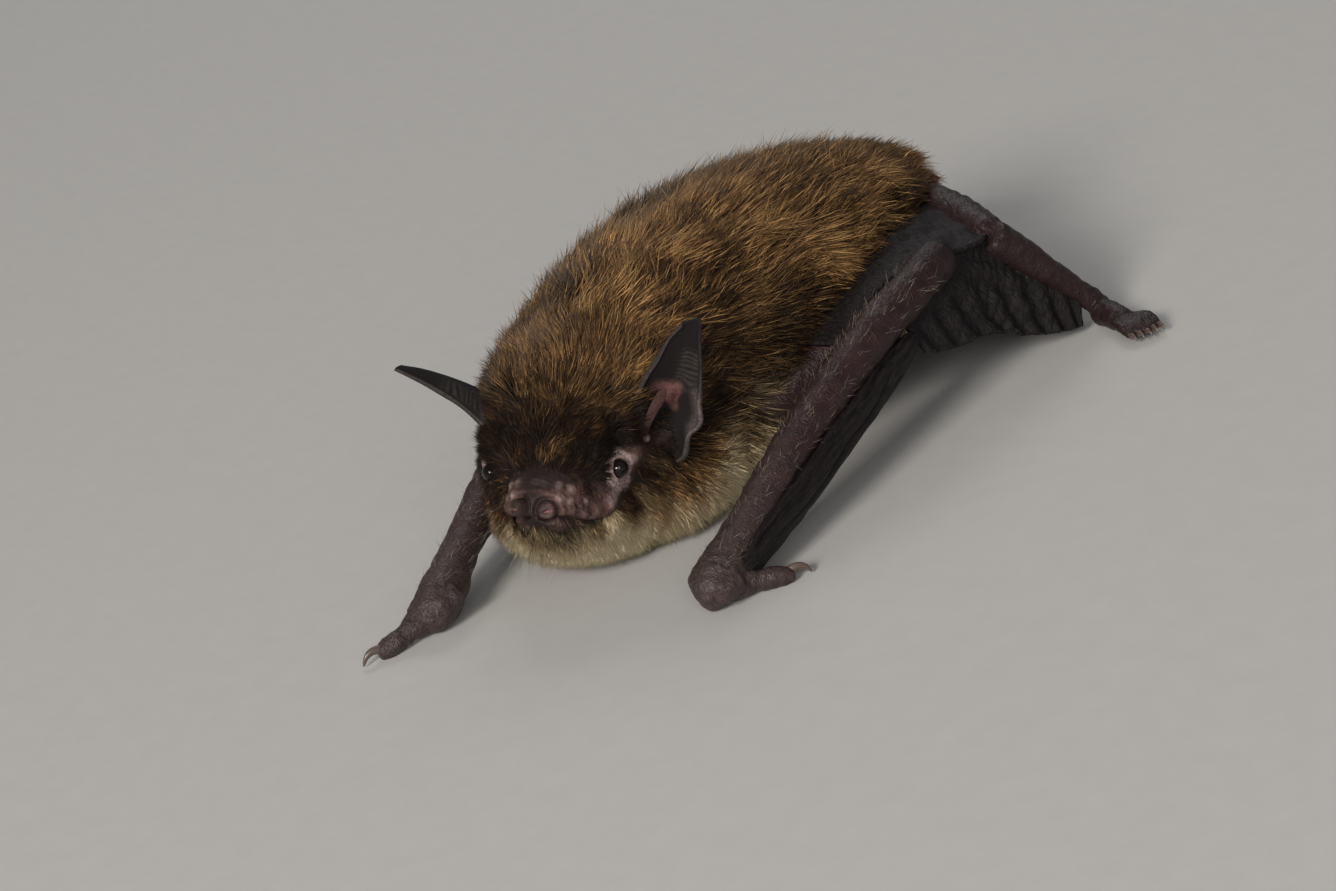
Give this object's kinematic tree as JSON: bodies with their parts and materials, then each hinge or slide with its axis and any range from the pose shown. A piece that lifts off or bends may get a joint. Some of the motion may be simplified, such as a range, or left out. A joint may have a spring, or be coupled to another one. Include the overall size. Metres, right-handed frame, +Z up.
{
  "type": "wild bat",
  "caption": "Small brown mouse-eared bat, life size and still, crouching on its wrists and feet with folded wings, its head low and turned to its left.",
  "frame": {"origin": "on the floor below the middle of the animal's bounding box", "axes": "+Z up from the floor, head towards -Y, the bat's left side towards +X"},
  "size_m": [0.0544, 0.07, 0.022],
  "materials": {
    "coat": "soft long fur, golden brown tips over dark bases, pale buff below",
    "skin": "bare purplish brown skin, finely wrinkled",
    "wing_skin": "thin blackish brown skin, folded and pleated",
    "eye": "wet shiny black",
    "claw": "smooth brown horn"
  },
  "bodies": {
    "root": {"head": "coat", "neck": "coat", "trunk": "coat", "tail": "skin", "ear_left": "skin", "ear_right": "skin", "tragus_left": "skin", "tragus_right": "skin", "upper_arm_left": "skin", "upper_arm_right": "skin", "forearm_left": "skin", "forearm_right": "skin", "wrist_left": "skin", "wrist_right": "skin", "thumb_left": "skin", "thumb_right": "skin", "thigh_left": "skin", "thigh_right": "skin", "shin_left": "skin", "shin_right": "skin", "foot_left": "skin", "foot_right": "skin", "fingers_left": "wing_skin", "fingers_right": "wing_skin", "wing_membrane_left": "wing_skin", "wing_membrane_right": "wing_skin", "flank_membrane_left": "wing_skin", "flank_membrane_right": "wing_skin", "tail_membrane_left": "wing_skin", "tail_membrane_right": "wing_skin", "eye_left": "eye", "eye_right": "eye", "thumb_claw_left": "claw", "thumb_claw_right": "claw"}
  },
  "joints": []
}
